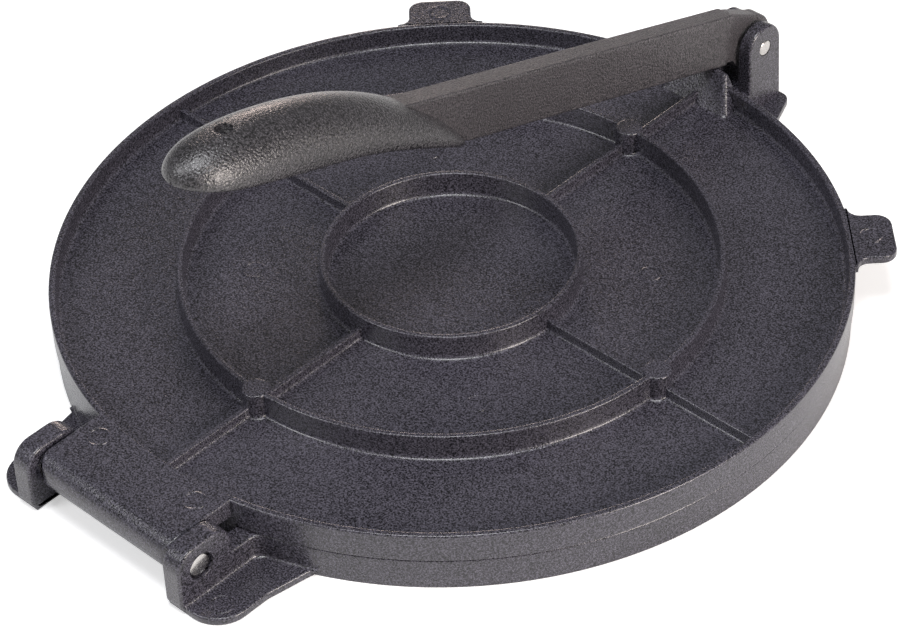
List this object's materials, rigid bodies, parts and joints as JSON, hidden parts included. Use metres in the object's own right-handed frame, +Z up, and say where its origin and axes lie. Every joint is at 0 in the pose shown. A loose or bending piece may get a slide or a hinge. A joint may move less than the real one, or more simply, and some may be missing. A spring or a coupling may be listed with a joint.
{
  "type": "tortilla press",
  "caption": "Round hand press with a ribbed lid hinged to a flat base, closed by a pivoting lever with a hollow grip.",
  "frame": {"origin": "on the floor under the middle of the closed press, 1.7 mm from the middle of its plates", "axes": "+X along the hinge pin, +Y from the hinge towards the pivot of the lever, +Z up"},
  "size_m": [0.26, 0.3146, 0.1251],
  "materials": {
    "casting": "charcoal coating with a fine pebbled grain",
    "pin": "bare turned steel"
  },
  "bodies": {
    "base": {"base": "casting", "hinge_pin": "pin", "lever_pin": "pin"},
    "lid": {"lid": "casting"},
    "lever": {"lever": "casting"}
  },
  "joints": [
    {"name": "lever_pivot", "type": "hinge", "parent": "base", "child": "lever", "pos_m": [0, 0.1473, 0.02655], "axis": [-1, 0, 0], "range_deg": [0, 160]},
    {"name": "lid_hinge", "type": "hinge", "parent": "base", "child": "lid", "pos_m": [0, -0.1481, 0.0142], "axis": [1, 0, 0], "range_deg": [0, 110]}
  ],
  "couplings": [
    {"joint": "lid_hinge", "follows": "lever_pivot", "ratio": 0.06}
  ]
}
